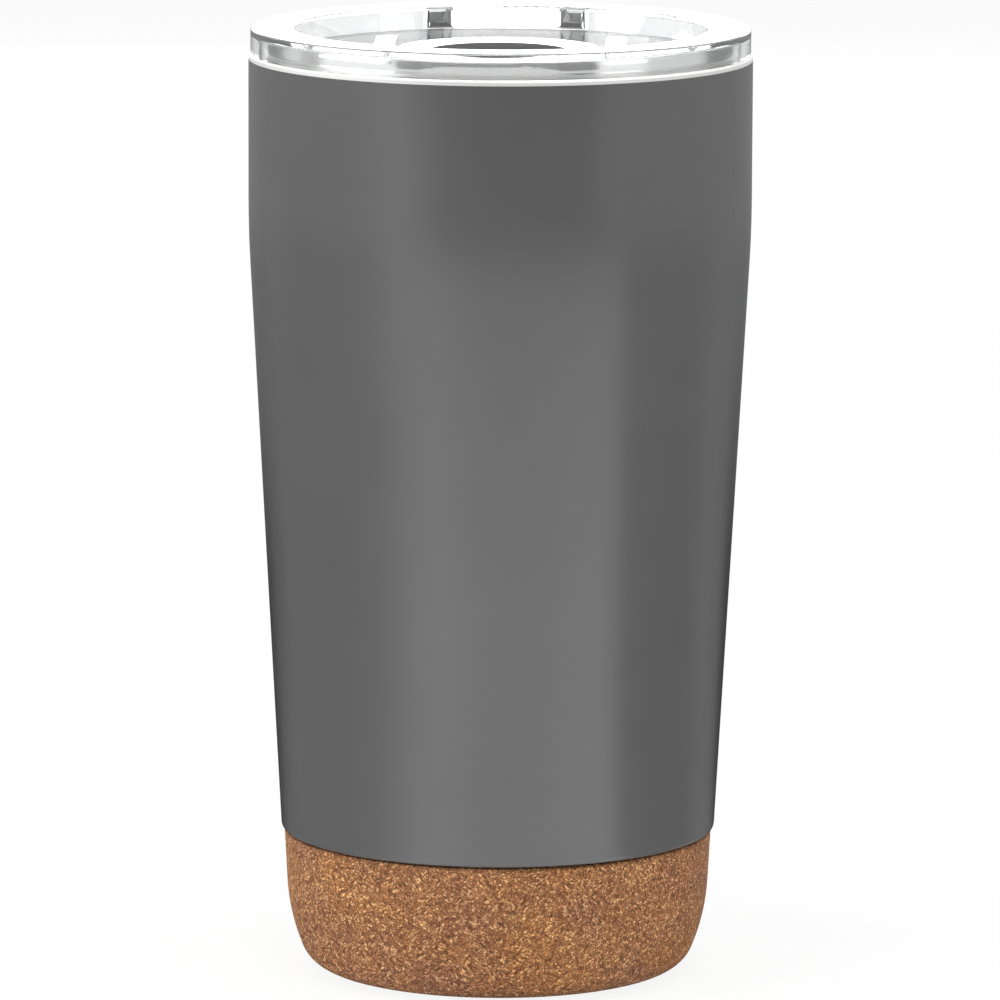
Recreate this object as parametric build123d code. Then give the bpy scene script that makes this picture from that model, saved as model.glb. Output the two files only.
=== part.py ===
from build123d import *
import math
import os

# Double-walled steel tumbler with a cork base and a clear press-on lid with a sliding closure.
# All sizes are millimetres. Z is up, the cork stands on Z = 0, and the drinking side faces -Y.

# Body
body_radius = 44.0  # outside of the straight upper part
body_top_z = 161.1  # top edge of the outer shell, under the bare lip
straight_height = 30.0  # shell top down to where the cylinder and cone lines cross
shoulder_blend = 200.0  # radius that eases the cylinder into the cone
taper_angle = 3.12  # degrees, half angle of the cone
shell_wall = 0.5
shell_curl = 1.2  # outside radius of the shell's bottom edge
neck_step = 4.6  # neck's outside inside the line of the shell's side
weld_z = 11.5  # seam between the neck and the bottom cap

# Inner liner with its lip and rim
vacuum_gap = 2.8  # between the two walls
liner_wall = 0.5
liner_floor_z = 20.0
liner_corner = 16.0  # inside radius round the liner's floor
lip_height = 0.95
lip_inset = 0.05  # lip's outside inside the shell's outside
lip_round = 0.4
rim_height = 2.9  # drinking rim over the lip
rim_wall = 0.45
rim_swell = 0.25  # how far the rim's side bulges at half its height
rim_round = 0.2

# Bottom cap
cap_corner = 6.0
cap_ring = 7.6  # width of the ring that the cap rests on, with its corner
dish_height = 1.5
dish_slope = 2.0
dimple_radius = 5.0
dimple_depth = 1.0
dimple_slope = 1.0
vent_radius = 0.8  # evacuation hole in the dimple
cap_bend = 0.9
bead_radius = 3.2
bead_height = 0.7
bead_round = 0.4

# Getter pill and its clip, on the cap inside the vacuum
getter_radius = 5.0
getter_height = 2.4
getter_offset = 13.0
getter_chamfer = 0.4
clip_width = 4.0
clip_foot = 3.2
clip_wall = 0.3
clip_bend = 0.5
clip_clearance = 0.1

# Cork base
cork_height = 24.5
cork_inset = 0.5  # cork's side inside the line of the shell's side
cork_floor = 3.6
cork_belly = 36.0  # radius of the side as it draws in
cork_foot = 6.2  # radius under the side
cork_foot_angle = 22.2  # degrees from vertical, where the belly meets the foot
cork_edge = 0.5
glue_gap = 0.1  # cork to neck and cap
joint_gap = 0.15  # cork's top to the shell's bottom edge

# Lid
lid_seat_gap = 0.05
lid_inset = 0.35  # lid's side inside the shell's side
lid_plate = 1.2
lid_skirt_wall = 1.9
lid_edge = 0.3
rim_clearance = 0.4  # rim's top to the lid's plate
well_wall = 1.1  # plug's outside to the well's side at its floor
well_draft = 0.6  # how much wider the well is at the lid's top
well_depth = 4.0
well_floor = 1.8
plug_clearance = 3.5  # plug wall to liner
plug_wall = 2.1
plug_depth = 13.5  # below the lid's top
plug_edge = 0.6
plug_root = 1.0
plug_cone_height = 3.0  # part below the plate in which the plug widens
plug_cone_clearance = 0.2  # plug's widest part inside the rim's bore
channel_round = 0.3

# Two notches in the plug's cone, at the back
notch_angle = 18.6  # degrees to each side of the +Y axis
notch_width = 4.0
notch_flare = 0.5  # how much wider each side is at the top and bottom
notch_wall = 0.2  # left of the cone outside the plug's side
notch_roof = 0.6  # left of the plate over a notch

# Gasket and its groove
flange_clearance = 1.0  # gasket flanges to liner
flange_height = 1.0
groove_height = 4.2
groove_depth = 0.2  # into the plug wall
gasket_fit = 0.05
gasket_body = 1.5
fin_clearance = 0.15  # fin tips to liner
fin_height = 0.8
fin_droop = 0.5

# Sliding closure
slider_travel = 13.0
slider_half_width = 17.8
slider_wall = 1.3
slider_gap = 0.12  # slider over the well floor
slider_margin = 2.0  # slider's front edge to the well's wall
slider_length = 41.6
slider_edge = 0.3
tongue_width = 1.8
tongue_wall = 0.6
tongue_setback = 6.6  # tongue's front end behind the slider's
tongue_length = 18.0
rail_gap = 0.35  # slider's side to the rail's lip
tongue_gap = 0.2  # tongue to the rail's wall
tongue_headroom = 0.15
rail_wall = 2.3
rail_lip = 0.75
rail_overrun = 3.8  # rail's end beyond the tongue when open
rail_edge = 0.25

# Drink slot, vent, seal and thumb pad
slot_setback = 7.1  # slot's middle behind the slider's front edge
slot_length = 18.0
slot_width = 7.0
slot_edge = 0.4
air_hole_radius = 0.8
air_hole_setback = 4.0  # air hole ahead of the slider's back end
seal_margin = 2.2
seal_recess = 0.5  # into the slider's underside
seal_run = 0.05  # seal over the well floor
seal_fit = 0.1
seal_edge = 0.15
pad_radius = 12.0
pad_setback = 17.8  # pad's middle behind the slider's front edge
pad_recess = 0.25
pad_fit = 0.05
pad_rim = 0.3  # pad's edge over the slider
pad_crown = 0.85  # pad's middle over the slider
pad_edge = 0.2

# Levels and radii that follow from the sizes above
shoulder_z = body_top_z - straight_height
joint_z = cork_height + joint_gap
cap_z = cork_floor + glue_gap
dish_z = cap_z + dish_height
lip_z = body_top_z + lip_height
mouth_radius = body_radius - shell_wall - vacuum_gap - liner_wall
seat_z = lip_z + lid_seat_gap
rim_z = lip_z + rim_height
channel_z = rim_z + rim_clearance
lid_z = channel_z + lid_plate
lid_radius = body_radius - lid_inset
well_floor_z = lid_z - well_depth
plug_z = lid_z - plug_depth
plug_radius = mouth_radius - plug_clearance
well_floor_radius = plug_radius - well_wall
well_radius = well_floor_radius + well_draft
plug_cone_radius = mouth_radius - plug_cone_clearance
plug_cone_z = channel_z - plug_cone_height
channel_radius = lid_radius - lid_skirt_wall
flange_radius = mouth_radius - flange_clearance
groove_radius = plug_radius - groove_depth
groove_z = plug_z + flange_height
slider_z = well_floor_z + slider_gap
slider_top_z = slider_z + slider_wall
slider_front = well_floor_radius - slider_margin
slider_back = slider_length - slider_front
slot_center = slider_front - slot_setback
pad_center = slider_front - pad_setback
air_hole_y = slider_back - air_hole_setback
tongue_front = slider_front - tongue_setback
rail_back = slider_travel + tongue_length - tongue_front + rail_overrun
rail_inner = slider_half_width + rail_gap
rail_outer = slider_half_width + tongue_width + tongue_gap
rail_lip_z = slider_z + tongue_wall + tongue_headroom
seal_length = slot_length + 2 * seal_margin
seal_width = slot_width + 2 * seal_margin


def body_radius_at(z, inset):
    """Radius of the cone's line at height z, less inset."""
    return body_radius - inset - (shoulder_z - z) * math.tan(math.radians(taper_angle))


neck_radius = body_radius_at(joint_z, neck_step)
cap_ring_inner = neck_radius - cap_ring


def turned(section):
    """Solid of revolution about Z of a section drawn with X as radius and Y as height."""
    return revolve(Plane.XZ * section, Axis.Z)


def sheet(line, wall, side):
    """Section of bent sheet: the band of the given wall on one side of an open line."""
    return make_face(offset(line, amount=wall, side=side).edges())


def outlined(points, radii):
    """Closed section through the points, each corner rounded by its radius."""
    return make_face(FilletPolyline(*points, radius=radii, close=True).edges())


def stadium(length, width, height, base):
    """Round-ended solid, long in X, standing on the point base."""
    return Pos(*base) * extrude(SlotOverall(length, width), height)


def outer_shell():
    line = FilletPolyline(
        (body_radius, body_top_z),
        (body_radius, shoulder_z),
        (body_radius_at(joint_z, 0), joint_z),
        (neck_radius, joint_z),
        (neck_radius, weld_z),
        radius=[shoulder_blend, shell_curl, shell_curl],
    )
    return turned(sheet(line, shell_wall, Side.RIGHT))


def inner_liner():
    inset = shell_wall + vacuum_gap
    bottom_z = liner_floor_z - liner_wall
    line = FilletPolyline(
        (mouth_radius + liner_wall, body_top_z),
        (mouth_radius + liner_wall, shoulder_z),
        (body_radius_at(bottom_z, inset), bottom_z),
        (0, bottom_z),
        radius=[shoulder_blend, liner_corner + liner_wall],
    )
    lip_outer = body_radius - lip_inset
    lip = outlined(
        [(mouth_radius, body_top_z), (lip_outer, body_top_z), (lip_outer, lip_z), (mouth_radius, lip_z)],
        [0, 0, lip_round, 0],
    )
    return turned(sheet(line, liner_wall, Side.RIGHT)) + turned(lip) + drinking_rim()


def drinking_rim():
    """Upright rim on the lip, slightly barrel-shaped, over which the lid's channel goes."""
    side_radius = mouth_radius + rim_wall
    middle = (side_radius + rim_swell, (lip_z + rim_z) / 2)
    side = ThreePointArc((side_radius, lip_z), middle, (side_radius, rim_z))
    rest = Polyline(
        side @ 1,
        (mouth_radius, rim_z),
        (mouth_radius, body_top_z),
        (side_radius, body_top_z),
        side @ 0,
    )
    rim = turned(make_face([side, rest]))
    return fillet(rim.edges().group_by(Axis.Z)[-1], rim_round)


def bottom_cap():
    line = FilletPolyline(
        (neck_radius, weld_z),
        (neck_radius, cap_z),
        (cap_ring_inner, cap_z),
        (cap_ring_inner - dish_slope, dish_z),
        (dimple_radius, dish_z),
        (dimple_radius - dimple_slope, dish_z + dimple_depth),
        (vent_radius, dish_z + dimple_depth),
        radius=[cap_corner, cap_bend, cap_bend, cap_bend, cap_bend],
    )
    return turned(sheet(line, shell_wall, Side.RIGHT))


def seal_bead():
    top_z = dish_z + dimple_depth
    low_z = top_z - bead_height
    return turned(outlined(
        [(0, low_z), (bead_radius, low_z), (bead_radius, top_z), (0, top_z)],
        [0, bead_round, 0, 0],
    ))


def getter():
    pill = Cylinder(getter_radius, getter_height, align=(Align.CENTER, Align.CENTER, Align.MIN))
    pill = chamfer(pill.edges(), getter_chamfer)
    return Pos(getter_offset, 0, dish_z + shell_wall) * pill


def getter_clip():
    leg = getter_radius + clip_clearance
    top = getter_height + clip_clearance
    toe = leg + clip_foot
    line = FilletPolyline(
        (-toe, 0), (-leg, 0), (-leg, top), (leg, top), (leg, 0), (toe, 0),
        radius=clip_bend,
    )
    strap = extrude(Plane.XZ * sheet(line, clip_wall, Side.LEFT), clip_width / 2, both=True)
    return Pos(getter_offset, 0, dish_z + shell_wall) * Rot(0, 0, 90) * strap


def cork_base():
    drawn_in = math.radians(cork_foot_angle)
    taper = math.radians(taper_angle)
    belly_z = cork_belly * (math.sin(drawn_in) - math.sin(taper)) + cork_foot * (1 - math.sin(drawn_in))
    side = Line(
        (body_radius_at(cork_height, cork_inset), cork_height),
        (body_radius_at(belly_z, cork_inset), belly_z),
    )
    belly = JernArc(side @ 1, side % 1, cork_belly, taper_angle - cork_foot_angle)
    foot = JernArc(belly @ 1, belly % 1, cork_foot, cork_foot_angle - 90)
    outline = [side, belly, foot]
    outline += [Polyline(foot @ 1, (0, 0), (0, cork_height), side @ 0)]
    block = turned(make_face(outline))
    bore_radius = neck_radius + glue_gap
    bore = outlined(
        [(0, cork_floor), (bore_radius, cork_floor), (bore_radius, joint_z), (0, joint_z)],
        [0, cap_corner + glue_gap, 0, 0],
    )
    cup = block - turned(bore)
    cup = fillet(cup.edges().group_by(Axis.Z)[-1].sort_by(SortBy.LENGTH)[-1], cork_edge)
    return fillet(cup.edges().group_by(Axis.Z)[-1].sort_by(SortBy.LENGTH)[0], shell_curl)


def lid_shell():
    """Plate, skirt, well and plug with its cone and gasket groove, turned in one section."""
    floor_low_z = well_floor_z - well_floor
    bore_radius = plug_radius - plug_wall
    groove_top_z = groove_z + groove_height
    flange_top_z = groove_top_z + flange_height
    points_and_radii = [
        ((lid_radius, seat_z), 0),
        ((lid_radius, lid_z), lid_edge),
        ((well_radius, lid_z), lid_edge),
        ((well_floor_radius, well_floor_z), 0),
        ((0, well_floor_z), 0),
        ((0, floor_low_z), 0),
        ((bore_radius, floor_low_z), plug_root),
        ((bore_radius, plug_z), 0),
        ((flange_radius, plug_z), plug_edge),
        ((flange_radius, groove_z), 0),
        ((groove_radius, groove_z), 0),
        ((groove_radius, groove_top_z), 0),
        ((flange_radius, groove_top_z), 0),
        ((flange_radius, flange_top_z), 0),
        ((plug_radius, flange_top_z), 0),
        ((plug_radius, plug_cone_z), channel_round),
        ((plug_cone_radius, channel_z), channel_round),
        ((channel_radius, channel_z), channel_round),
        ((channel_radius, seat_z), 0),
    ]
    points = [point for point, _ in points_and_radii]
    radii = [radius for _, radius in points_and_radii]
    return turned(outlined(points, radii))


def lid_rail():
    """Guide rail on the +X side, with a lip over the slider's tongue."""
    sunk_z = well_floor_z - well_floor / 2
    top_z = rail_lip_z + rail_lip
    outer = rail_outer + rail_wall
    section = Polyline(
        (rail_outer, sunk_z),
        (rail_outer, rail_lip_z),
        (rail_inner, rail_lip_z),
        (rail_inner, top_z),
        (outer, top_z),
        (outer, sunk_z),
        close=True,
    )
    bar = extrude(Plane.XZ.offset(-rail_back) * make_face(section), rail_back + well_radius)
    bar = fillet(bar.edges().group_by(Axis.Z)[-1], rail_edge)
    into_wall = plug_radius - well_wall / 2
    return bar & Pos(0, 0, well_floor_z) * Cylinder(into_wall, 2 * well_depth)


def drink_slot():
    """Cutter for the slot through the well floor, wider at both faces."""
    outline = SlotOverall(slot_length, slot_width)
    flare = extrude(outline, slot_edge, taper=-45)
    cutter = extrude(outline, well_floor / 2, both=True)
    for turn in (0, 180):
        cutter += Rot(turn, 0, 0) * Pos(0, 0, well_floor / 2 - slot_edge) * flare
    return Pos(0, -slot_center, well_floor_z - well_floor / 2) * cutter


def cone_notch():
    """Cutter for the notch on the +X side of the back, wider at its top and bottom."""
    half = notch_width / 2
    wide = half + notch_flare
    low_z = plug_cone_z - channel_round
    flare_z = plug_cone_z + notch_wall
    top_z = lid_z - notch_roof
    side = [
        (wide, low_z),
        (wide, flare_z),
        (half, flare_z + notch_flare),
        (half, top_z - notch_flare),
        (wide, top_z),
    ]
    mirrored = [(-x, z) for x, z in reversed(side)]
    floor_radius = plug_radius + notch_wall
    depth = channel_radius - 2 * channel_round - floor_radius
    cutter = extrude(Plane.YZ * make_face(Polyline(*side, *mirrored, close=True)), depth)
    return Rot(0, 0, 90 - notch_angle) * Pos(floor_radius, 0, 0) * cutter


def lid_body():
    lid = lid_shell() + lid_rail() + mirror(lid_rail(), Plane.YZ)
    air_hole = Pos(0, air_hole_y, well_floor_z) * Cylinder(air_hole_radius, 3 * well_floor)
    return lid - drink_slot() - air_hole - cone_notch() - mirror(cone_notch(), Plane.YZ)


def lid_gasket():
    """Silicone ring in the plug's groove, with two drooping fins that wipe the liner."""
    low_z = groove_z + gasket_fit
    high_z = groove_z + groove_height - gasket_fit
    inner = groove_radius + gasket_fit
    outer = inner + gasket_body
    tip = mouth_radius - fin_clearance
    band = Polyline((inner, low_z), (outer, low_z), (outer, high_z), (inner, high_z), close=True)
    ring = turned(make_face(band))
    for root_z in (low_z, high_z - fin_height - fin_droop):
        fin = Polyline(
            (inner, root_z),
            (tip, root_z + fin_droop),
            (tip, root_z + fin_droop + fin_height / 2),
            (outer, root_z + fin_height),
            (inner, root_z + fin_height),
            close=True,
        )
        ring += turned(make_face(fin))
    return ring


def slider_plate():
    """Closure plate: an arc at the front, half round at the back, a tongue on each side."""
    front_y = -math.sqrt(slider_front**2 - slider_half_width**2)
    back_y = slider_back - slider_half_width
    front = ThreePointArc((-slider_half_width, front_y), (0, -slider_front), (slider_half_width, front_y))
    back = ThreePointArc((slider_half_width, back_y), (0, slider_back), (-slider_half_width, back_y))
    sides = [Line(front @ 1, back @ 0), Line(back @ 1, front @ 0)]
    plate = extrude(make_face([front, back, *sides]), slider_wall)
    plate = chamfer(plate.edges().group_by(Axis.Z)[-1], slider_edge)
    tongue_span = 2 * (slider_half_width + tongue_width)
    tongues = Rectangle(tongue_span, tongue_length, align=(Align.CENTER, Align.MIN))
    plate += extrude(Pos(0, -tongue_front) * tongues, tongue_wall)
    plate -= Pos(0, 0, slider_wall - pad_recess) * pad_seat(pad_fit, pad_recess)
    plate -= stadium(seal_length + 2 * seal_fit, seal_width + 2 * seal_fit, seal_recess, (0, -slot_center, 0))
    return Pos(0, 0, slider_z) * plate


def pad_seat(clearance, height):
    """Round recess, or the disc that fills it, at the thumb pad's place."""
    disc = Cylinder(pad_radius + clearance, height, align=(Align.CENTER, Align.CENTER, Align.MIN))
    return Pos(0, -pad_center, 0) * disc


def slider_seal():
    """Silicone pad in the slider's underside, over the drink slot when closed."""
    wall = seal_recess + slider_gap - seal_run
    base = (0, -slot_center, well_floor_z + seal_run)
    seal = stadium(seal_length, seal_width, wall, base)
    return fillet(seal.edges().group_by(Axis.Z)[0], seal_edge)


def thumb_pad():
    """Domed disc set into the slider's top."""
    rise = pad_crown - pad_rim
    dome_radius = (pad_radius**2 + rise**2) / (2 * rise)
    dome_angle = math.degrees(math.asin(pad_radius / dome_radius))
    dome = JernArc((0, pad_crown), (1, 0), dome_radius, -dome_angle)
    rest = Polyline(dome @ 1, (pad_radius, -pad_recess), (0, -pad_recess), dome @ 0)
    section = make_face([dome, rest])
    rim = section.vertices().sort_by_distance((pad_radius, pad_rim))[0]
    disc = turned(fillet(rim, pad_edge))
    return Pos(0, -pad_center, slider_top_z) * disc


SUBPARTS = {
    "outer_shell": outer_shell,
    "inner_liner": inner_liner,
    "bottom_cap": bottom_cap,
    "seal_bead": seal_bead,
    "getter": getter,
    "getter_clip": getter_clip,
    "cork_base": cork_base,
    "lid_body": lid_body,
    "lid_gasket": lid_gasket,
    "slider_plate": slider_plate,
    "slider_seal": slider_seal,
    "thumb_pad": thumb_pad,
}

if __name__ == "__main__":
    os.makedirs("parts", exist_ok=True)
    for name, make in SUBPARTS.items():
        export_step(make(), f"parts/{name}.step")
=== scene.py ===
"""Looks of the insulated tumbler: camera, studio, floor and one procedural material per surface."""

import math

import bpy
from mathutils import Matrix, Vector

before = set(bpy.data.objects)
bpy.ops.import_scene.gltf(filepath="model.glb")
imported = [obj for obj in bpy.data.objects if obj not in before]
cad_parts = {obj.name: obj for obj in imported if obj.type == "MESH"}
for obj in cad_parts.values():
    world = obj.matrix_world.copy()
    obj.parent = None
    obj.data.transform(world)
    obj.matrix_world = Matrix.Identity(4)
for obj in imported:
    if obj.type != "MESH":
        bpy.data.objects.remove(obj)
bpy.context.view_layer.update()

MM = 0.001

# ---------------------------------------------------------------- camera

CAMERA_LENS = 309.6  # focal length in mm
CAMERA_DISTANCE = 1493 * MM
CAMERA_SIDE = -3.1 * MM
CAMERA_HEIGHT = 325.1 * MM
CAMERA_REACH = 100  # metres
# Degrees: round the object from its drinking side, then the camera's own yaw, pitch down and roll
CAMERA_TURN = 1.6
CAMERA_YAW = -0.126
CAMERA_PITCH = 9.21
CAMERA_ROLL = 0.235


def turn(degrees, axis):
    return Matrix.Rotation(math.radians(degrees), 4, axis)


def make_camera():
    data = bpy.data.cameras.new("camera")
    data.lens = CAMERA_LENS
    data.clip_end = CAMERA_REACH
    camera = bpy.data.objects.new("camera", data)
    bpy.context.scene.collection.objects.link(camera)
    stand = Matrix.Translation((CAMERA_SIDE, -CAMERA_DISTANCE, CAMERA_HEIGHT))
    aim = turn(CAMERA_YAW, "Z") @ turn(90 - CAMERA_PITCH, "X") @ turn(CAMERA_ROLL, "Z")
    camera.matrix_world = turn(CAMERA_TURN, "Z") @ stand @ aim
    bpy.context.scene.camera = camera


# ---------------------------------------------------------------- node helpers

WHITE = (1, 1, 1, 1)
# Where on a noise's scale of 0 to 1 its first tone ends and its second begins
NOISE_LOW = 0.3
NOISE_HIGH = 0.7


def grey(value):
    return (value, value, value)


class Nodes:
    """Shorthand for building the node tree of a material or world, which it empties first."""

    def __init__(self, owner):
        owner.use_nodes = True
        self.tree = owner.node_tree
        self.tree.nodes.clear()

    def add(self, kind, inputs=None, **settings):
        """New node whose inputs are linked to sockets and nodes, or else set to plain values."""
        node = self.tree.nodes.new("ShaderNode" + kind)
        for name, value in settings.items():
            setattr(node, name, value)
        for name, value in (inputs or {}).items():
            source = value.outputs[0] if isinstance(value, bpy.types.Node) else value
            if isinstance(source, bpy.types.NodeSocket):
                self.tree.links.new(source, node.inputs[name])
            else:
                node.inputs[name].default_value = source
        return node

    def place(self):
        return self.add("TexCoord").outputs["Object"]

    def noise(self, place, per_metre, detail):
        return self.add("TexNoise", {"Vector": place, "Scale": per_metre, "Detail": detail})

    def span(self, value, low, high):
        """Value of 0 to 1 stretched to run from low to high."""
        return self.add("MapRange", {"Value": value, "To Min": low, "To Max": high})

    def rise(self, value, start, end):
        """0 up to start, 1 from end on."""
        return self.add("MapRange", {"Value": value, "From Min": start, "From Max": end})

    def calc(self, operation, first, second):
        return self.add("Math", {0: first, 1: second}, operation=operation)

    def mix(self, kind, factor, first, second, **settings):
        node = self.add("Mix", {"Factor": factor, "A": first, "B": second}, data_type=kind, **settings)
        return node.outputs["Result"]

    def mix_shaders(self, factor, first, second):
        return self.add("MixShader", {0: factor, 1: first, 2: second})

    def bump(self, height, depth, strength):
        return self.add("Bump", {"Height": height, "Distance": depth, "Strength": strength})

    def ramp(self, factor, stops):
        """Colours at positions along a factor of 0 to 1."""
        node = self.add("ValToRGB", {"Fac": factor})
        elements = node.color_ramp.elements
        while len(elements) < len(stops):
            elements.new(0.5)
        for element, (position, colour) in zip(elements, stops):
            element.position = position
            element.color = (*colour, 1)
        return node

    def two_tone(self, noise, first, second):
        return self.ramp(noise, [(NOISE_LOW, first), (NOISE_HIGH, second)])


# ---------------------------------------------------------------- materials

# Each recipe fills the sockets of a principled shader, and gives its name to the material

# Heights on the liner at which its brushed wall ends in the lip, and the lip in the polished rim
LIP_FOOT = 160.6 * MM
RIM_FOOT = 161.9 * MM
FINISH_BLEND = 0.3 * MM
# The lip's colour is lighter than the steel's elsewhere: a painted highlight along the lip
LIP_PAINTED_HIGHLIGHT_COLOUR = (0.88, 0.875, 0.87, 1)
LIP_ROUGHNESS = 0.65
RIM_COLOUR = (0.70, 0.695, 0.69, 1)
RIM_ROUGHNESS = 0.10

# Cork flakes lie two ways: lean in radians, size in metres
CORK_FLAKES = [
    ((0.5, 0.95, 0.0), (0.00033, 0.00037, 0.00082)),
    ((-0.4, -0.75, 0.6), (0.00035, 0.00033, 0.00076)),
]
CORK_WARP = 1.6 * MM  # how far the flakes' places are bent about
CORK_TONES = [
    (0.06, (0.190, 0.070, 0.030)), (0.30, (0.400, 0.170, 0.071)),
    (0.60, (0.565, 0.250, 0.108)), (0.86, (0.930, 0.540, 0.245)),
]
CORK_SEAMS = [(0.0, grey(0.28)), (0.27, grey(1.0))]
CORK_CLOUDS = [(0.36, (0.92, 0.90, 1.00)), (0.64, (1.10, 1.06, 0.92))]


def satin_grey_paint(nodes, place):
    cloud = nodes.noise(place, per_metre=60, detail=3)
    peel = nodes.noise(place, per_metre=2600, detail=2)
    return {
        "Base Color": nodes.two_tone(cloud, (0.083, 0.083, 0.084), (0.089, 0.089, 0.090)),
        "Roughness": nodes.span(peel, 0.19, 0.25),
        "Normal": nodes.bump(peel, depth=0.02 * MM, strength=0.25),
        "IOR": 1.95,
    }


def brushed_steel(nodes, place):
    """Brushed wall lines that run round, a rougher lip above them whose lighter colour is a painted
    highlight, and a polished rim above that.
    """
    stretch = nodes.add("Mapping", {"Vector": place, "Scale": (40, 40, 9000)})
    lines = nodes.noise(stretch, per_metre=1, detail=4)
    height = nodes.add("SeparateXYZ", {"Vector": place}).outputs["Z"]
    lip = nodes.rise(height, LIP_FOOT, LIP_FOOT + FINISH_BLEND)
    polished = nodes.rise(height, RIM_FOOT, RIM_FOOT + FINISH_BLEND)
    rough = nodes.mix("FLOAT", lip, nodes.span(lines, 0.18, 0.34), LIP_ROUGHNESS)
    brushed = nodes.two_tone(lines, (0.64, 0.635, 0.63), (0.74, 0.735, 0.73))
    # Painted highlight: the lip takes a lighter colour than the brushed wall
    brushed_with_lip_highlight = nodes.mix("RGBA", lip, brushed, LIP_PAINTED_HIGHLIGHT_COLOUR)
    return {
        "Base Color": nodes.mix("RGBA", polished, brushed_with_lip_highlight, RIM_COLOUR),
        "Roughness": nodes.mix("FLOAT", polished, rough, RIM_ROUGHNESS),
        "Normal": nodes.bump(lines, depth=0.01 * MM, strength=nodes.span(polished, 0.3, 0.03)),
        "Metallic": 1.0,
    }


def agglomerated_cork(nodes, place):
    """Flakes pressed together, with darker seams, leaning one way or the other from patch to patch."""
    warp = nodes.noise(place, per_metre=260, detail=2).outputs["Color"]
    centred = nodes.add("VectorMath", {0: warp, 1: grey(0.5)}, operation="SUBTRACT")
    shift = nodes.add("VectorMath", {0: centred, "Scale": CORK_WARP}, operation="SCALE")
    bent = nodes.add("VectorMath", {0: place, 1: shift}, operation="ADD")
    one_way, other_way = (
        nodes.add("Mapping", {"Vector": bent, "Rotation": lean, "Scale": size}, vector_type="TEXTURE")
        for lean, size in CORK_FLAKES
    )
    patch = nodes.calc("GREATER_THAN", nodes.noise(place, per_metre=420, detail=1), 0.5)
    where = nodes.mix("VECTOR", patch, one_way, other_way)
    flakes = nodes.add("TexVoronoi", {"Vector": where, "Scale": 1}).outputs["Color"]
    seams = nodes.add("TexVoronoi", {"Vector": where, "Scale": 1}, feature="DISTANCE_TO_EDGE")
    tone = nodes.ramp(flakes, CORK_TONES)
    shaded = nodes.mix("RGBA", 1.0, tone, nodes.ramp(seams, CORK_SEAMS), blend_type="MULTIPLY")
    cloudy = nodes.ramp(nodes.noise(place, per_metre=75, detail=4), CORK_CLOUDS)
    return {
        "Base Color": nodes.mix("RGBA", 1.0, shaded, cloudy, blend_type="MULTIPLY"),
        "Normal": nodes.bump(seams, depth=0.12 * MM, strength=0.5),
        "Roughness": 0.85,
        "Specular IOR Level": 0.25,
    }


def clear_plastic(nodes, place):
    haze = nodes.noise(place, per_metre=90, detail=3)
    return {
        "Base Color": nodes.two_tone(haze, (0.97, 0.98, 0.985), (0.99, 0.993, 0.995)),
        "Roughness": nodes.span(haze, 0.01, 0.06),
        "Normal": nodes.bump(haze, depth=0.03 * MM, strength=0.15),
        "Transmission Weight": 0.94,  # the rest is the faint haze of moulded plastic
        "IOR": 1.58,
    }


def translucent_silicone(nodes, place):
    cloud = nodes.noise(place, per_metre=400, detail=2)
    return {
        "Base Color": nodes.two_tone(cloud, (0.84, 0.85, 0.855), (0.90, 0.905, 0.91)),
        "Roughness": nodes.span(cloud, 0.45, 0.6),
        "Transmission Weight": 0.55,
        "IOR": 1.41,
    }


def spark_textured_grey_plastic(nodes, place):
    grain = nodes.noise(place, per_metre=5200, detail=2)
    return {
        "Base Color": nodes.two_tone(grain, grey(0.026), grey(0.038)),
        "Roughness": nodes.span(grain, 0.70, 0.82),
        "Normal": nodes.bump(grain, depth=0.03 * MM, strength=0.4),
        "Specular IOR Level": 0.1,
    }


RECIPES = {
    "outer_shell": satin_grey_paint,
    "inner_liner": brushed_steel,
    "bottom_cap": brushed_steel,
    "getter": brushed_steel,
    "getter_clip": brushed_steel,
    "seal_bead": translucent_silicone,
    "cork_base": agglomerated_cork,
    "lid_body": clear_plastic,
    "slider_plate": clear_plastic,
    "lid_gasket": translucent_silicone,
    "slider_seal": translucent_silicone,
    "thumb_pad": spark_textured_grey_plastic,
}


def make_material(recipe):
    material = bpy.data.materials.new(recipe.__name__)
    nodes = Nodes(material)
    shader = nodes.add("BsdfPrincipled", recipe(nodes, nodes.place()))
    nodes.add("OutputMaterial", {"Surface": shader})
    return material


def dress():
    made = {recipe: make_material(recipe) for recipe in dict.fromkeys(RECIPES.values())}
    for node, recipe in RECIPES.items():
        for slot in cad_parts[node].material_slots:
            slot.material = made[recipe]


# ---------------------------------------------------------------- studio

# Lengths in metres; angles in degrees from the front, positive on the +X side; greys where 1 is white

FLOOR_HALF = 3.0
FLOOR_DROP = 0.4 * MM  # keeps the floor off the painted reflection card and the cork's underside
FLOOR_GREY = 0.9
FLOOR_WHITE = 0.89  # share that camera, reflections and refractions see as plain white
WORLD_STRENGTH = 0.6

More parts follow.
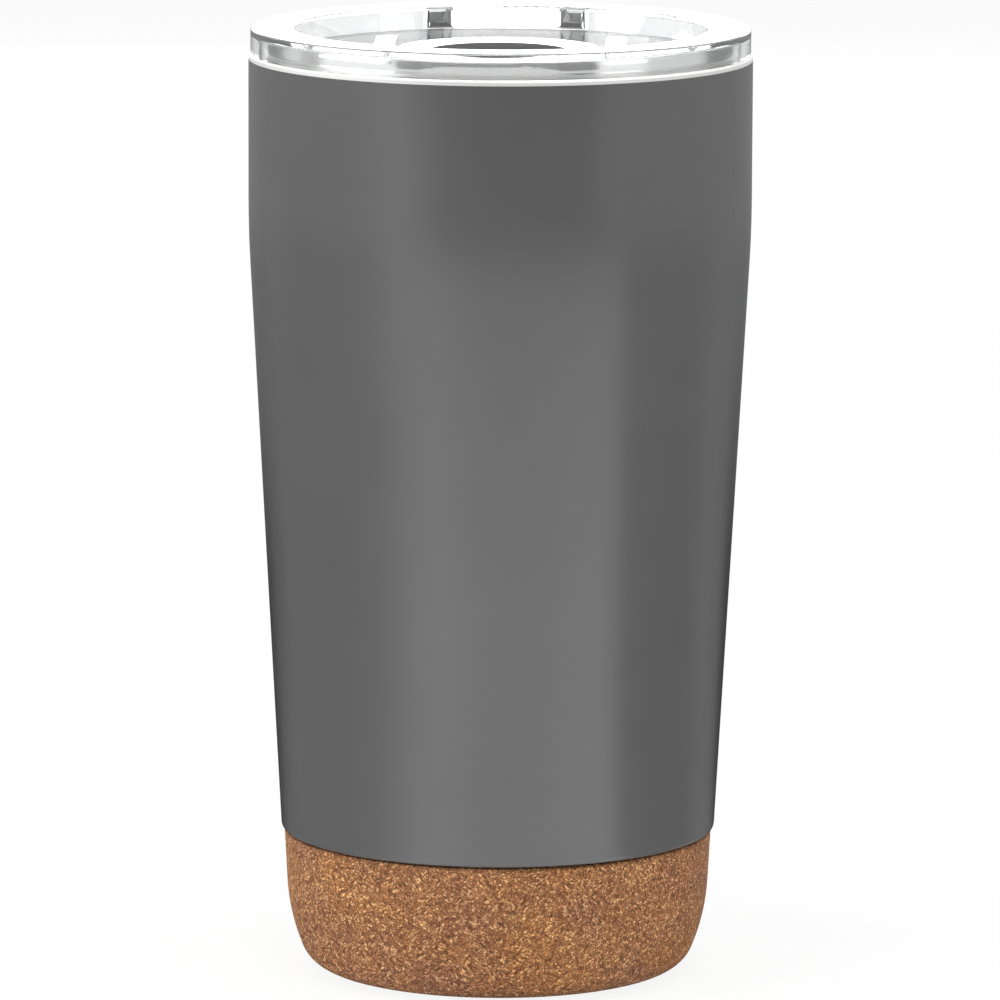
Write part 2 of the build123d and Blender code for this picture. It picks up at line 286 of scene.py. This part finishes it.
# Greys of the painted reflection card by angle, close to the object and far from it: a glowing sheet seen
# only in reflections off the object, painting light and dark reflections on its gloss
PAINTED_REFLECTION_HALF = 2.5
PAINTED_REFLECTION_NEAR = [
    (-180, 0.0), (-145, 0.0), (-120, 0.20), (-72, 0.24), (-56, 0.38), (-38, 0.82), (-26, 1.0), (-8, 0.84),
    (14, 0.82), (34, 0.95), (50, 1.0), (56, 0.86), (64, 0.30), (100, 0.22), (122, 0.34), (138, 0.20),
    (152, 0.0), (180, 0.0),
]
PAINTED_REFLECTION_FAR = [
    (-180, 0.30), (-125, 0.32), (-100, 0.24), (-70, 0.26), (-60, 0.42), (-44, 0.78), (-34, 0.55), (-24, 0.14),
    (-12, 0.02), (44, 0.0), (58, 0.24), (75, 0.33), (110, 0.36), (140, 0.36), (180, 0.30),
]
# Share of the far greys by distance from the object
PAINTED_REFLECTION_FADE = [(0.40, 0.0), (0.62, 0.38), (0.85, 0.62), (1.1, 0.88), (1.5, 1.0)]

# Dark sheets in front that glow and show only in reflections off the object, painted dark reflections: grey,
# then corners as places across it and heights
FRONT_Y = -1.8
FRONT_PAINTED_REFLECTIONS = {
    "front_painted_dark_reflection_low": (0.05, [(-1.7, 0), (1.7, 0), (1.7, 0.35), (-1.7, 0.35)]),
    "front_painted_dark_reflection_high": (0.38, [
        (-2.3, 0.30), (-1.8, 0.36), (-0.9, 0.43), (0, 0.50), (0.9, 0.43), (1.8, 0.36), (2.3, 0.30),
        (2.3, 1.9), (1.8, 1.6), (0.9, 1.0), (0, 0.80), (-0.9, 1.0), (-1.8, 1.6), (-2.3, 1.9),
    ]),
}

# Glowing wall with an apron at its foot, seen only by rays that left the clear plastic: painted reflections
# in the steel rim under the lid's skirt. Its greys by angle: the two stretches at 1.45 stand for soft boxes
PAINTED_WALL_TONES = [
    (-150, 0.15), (-128, 0.20), (-122, 0.95), (-112, 1.10), (-106, 0.72), (-96, 0.66), (-91, 1.45),
    (-50, 1.45), (-47, 1.04), (47, 1.04), (50, 1.45), (72, 1.45), (77, 1.02), (112, 0.95), (120, 0.25),
    (150, 0.15),
]
WALL_END = 150
WALL_STEP = 5
WALL_FOOT = 2 * MM
WALL_TOP = 0.95
WALL_RADIUS = 2.4
APRON_RADIUS = 0.12

# Dark bow-tie between object and wall, seen only by rays that left the clear plastic: a painted dark streak
# reflected in the steel rim, with corners as places across it and heights
PAINTED_STREAK_GREY = 0.28
PAINTED_STREAK_Y = -0.6
PAINTED_STREAK_OUTLINE = [
    (-0.666, 0.03), (-0.46, 0.03), (-0.30, 0.235), (0, 0.25), (0.20, 0.235), (0.36, 0.03), (0.666, 0.003),
    (0.666, 0.60), (0.40, 0.45), (0.20, 0.375), (0, 0.365), (-0.27, 0.375), (-0.45, 0.45), (-0.666, 0.50),
]


def lay_sheet(name, corners, faces=None):
    """Staged sheet through the given corners, one face unless it is given more, and its empty material."""
    mesh = bpy.data.meshes.new(name)
    mesh.from_pydata(corners, [], faces or [tuple(range(len(corners)))])
    sheet = bpy.data.objects.new(name, mesh)
    bpy.context.scene.collection.objects.link(sheet)
    material = bpy.data.materials.new(name)
    mesh.materials.append(material)
    return sheet, Nodes(material)


def level_square(half, z):
    return [(-half, -half, z), (half, -half, z), (half, half, z), (-half, half, z)]


def seen_white(nodes, surface, share):
    """Surface of which camera, transmission and glossy rays see the given share as plain white."""
    path = nodes.add("LightPath").outputs
    seen = nodes.calc("MAXIMUM", path["Is Camera Ray"], path["Is Transmission Ray"])
    seen = nodes.calc("MAXIMUM", seen, path["Is Glossy Ray"])
    glow = nodes.add("Emission", {"Color": WHITE})
    return nodes.mix_shaders(nodes.calc("MULTIPLY", seen, share), surface, glow)


def show_in_gloss(sheet, nodes, colour, past_plastic=False):
    """Show a glowing sheet in reflections alone: those that left clear plastic, or else only the others."""
    glow = nodes.add("Emission", {"Color": colour})
    clear = nodes.add("BsdfTransparent")
    left_plastic = nodes.add("LightPath").outputs["Is Transmission Ray"]
    others, leavers = (clear, glow) if past_plastic else (glow, clear)
    nodes.add("OutputMaterial", {"Surface": nodes.mix_shaders(left_plastic, others, leavers)})
    sheet.visible_camera = False
    sheet.visible_diffuse = False
    sheet.visible_shadow = False


def angle_from_front(nodes):
    """Angle about the object's axis: 0 and 1 at the back, a half at the front, less on the -X side."""
    place = nodes.add("SeparateXYZ", {"Vector": nodes.place()}).outputs
    angle = nodes.calc("ARCTAN2", place["X"], nodes.calc("MULTIPLY", place["Y"], -1.0))
    return nodes.rise(angle, -math.pi, math.pi)


def greys_by_angle(nodes, angle, stops):
    return nodes.ramp(angle, [((degrees + 180) / 360, grey(value)) for degrees, value in stops])


def make_floor():
    _, nodes = lay_sheet("floor", level_square(FLOOR_HALF, -FLOOR_DROP))
    pale = nodes.add("BsdfDiffuse", {"Color": (*grey(FLOOR_GREY), 1)})
    nodes.add("OutputMaterial", {"Surface": seen_white(nodes, pale, FLOOR_WHITE)})


def make_world():
    world = bpy.data.worlds.new("studio")
    bpy.context.scene.world = world
    nodes = Nodes(world)
    pale = nodes.add("Background", {"Color": WHITE, "Strength": WORLD_STRENGTH})
    nodes.add("OutputWorld", {"Surface": seen_white(nodes, pale, 1.0)})


def make_painted_reflection_card():
    """Glowing sheet lying round the object, seen only in reflections: painted reflections of light and dark
    on the object's gloss.
    """
    reflection_sheet, nodes = lay_sheet("painted_reflection_card", level_square(PAINTED_REFLECTION_HALF, 0))
    angle = angle_from_front(nodes)
    reach = nodes.add("VectorMath", {0: nodes.place()}, operation="LENGTH").outputs["Value"]
    fade = [(metres / PAINTED_REFLECTION_HALF, grey(share)) for metres, share in PAINTED_REFLECTION_FADE]
    share = nodes.ramp(nodes.rise(reach, 0, PAINTED_REFLECTION_HALF), fade)
    close, distant = (greys_by_angle(nodes, angle, stops) for stops in (PAINTED_REFLECTION_NEAR, PAINTED_REFLECTION_FAR))
    show_in_gloss(reflection_sheet, nodes, nodes.mix("RGBA", share, close, distant))


def make_front_painted_reflections():
    """Dark sheets in front, lower and upper, that show only in reflections: painted dark reflections on the
    object's gloss.
    """
    for name, (tone, outline) in FRONT_PAINTED_REFLECTIONS.items():
        sheet, nodes = lay_sheet(name, [(x, FRONT_Y, z) for x, z in outline])
        show_in_gloss(sheet, nodes, (*grey(tone), 1))


def make_rim_painted_reflections():
    """Glowing wall and dark streak, seen only past clear plastic: painted reflections that the steel rim
    shows through the lid's skirt.
    """
    angles = [math.radians(degrees) for degrees in range(-WALL_END, WALL_END + 1, WALL_STEP)]
    arcs = [(APRON_RADIUS, WALL_FOOT), (WALL_RADIUS, WALL_FOOT), (WALL_RADIUS, WALL_TOP)]
    corners = [(r * math.sin(angle), -r * math.cos(angle), z) for r, z in arcs for angle in angles]
    count = len(angles)
    faces = [
        (k, k + 1, k + 1 + count, k + count)
        for first in (0, count)
        for k in range(first, first + count - 1)
    ]
    glowing_wall, nodes = lay_sheet("rim_painted_reflection_wall", corners, faces)
    show_in_gloss(glowing_wall, nodes, greys_by_angle(nodes, angle_from_front(nodes), PAINTED_WALL_TONES), past_plastic=True)
    streak, nodes = lay_sheet("rim_painted_dark_streak", [(x, PAINTED_STREAK_Y, z) for x, z in PAINTED_STREAK_OUTLINE])
    show_in_gloss(streak, nodes, (*grey(PAINTED_STREAK_GREY), 1), past_plastic=True)


# ---------------------------------------------------------------- lamps

# Place, target, width and height in metres, and power in watts
SOFT_BOXES = {
    "left_box": ((-1.0, -0.27, 0.62), (0, 0, 0.12), 0.84, 0.7, 5.3),
    "right_box": ((0.93, -0.45, 0.62), (0, 0, 0.12), 0.46, 0.7, 1.1),
    "top_box": ((0, -0.3, 1.1), (0, -0.3, 0), 0.9, 0.7, 7.0),
    "back_box": ((0, 1.5, 0.45), (0, 0, 0.16), 1.6, 0.4, 6.0),
}


def make_lights():
    for name, (place, target, width, height, power) in SOFT_BOXES.items():
        data = bpy.data.lights.new(name, "AREA")
        data.shape = "RECTANGLE"
        data.size = width
        data.size_y = height
        data.energy = power
        lamp = bpy.data.objects.new(name, data)
        bpy.context.scene.collection.objects.link(lamp)
        lamp.location = place
        lamp.rotation_euler = (Vector(target) - Vector(place)).to_track_quat("-Z", "Y").to_euler()


make_camera()
make_floor()
make_painted_reflection_card()
make_front_painted_reflections()
make_rim_painted_reflections()
make_world()
make_lights()
dress()

bpy.context.scene.view_settings.view_transform = "Standard"
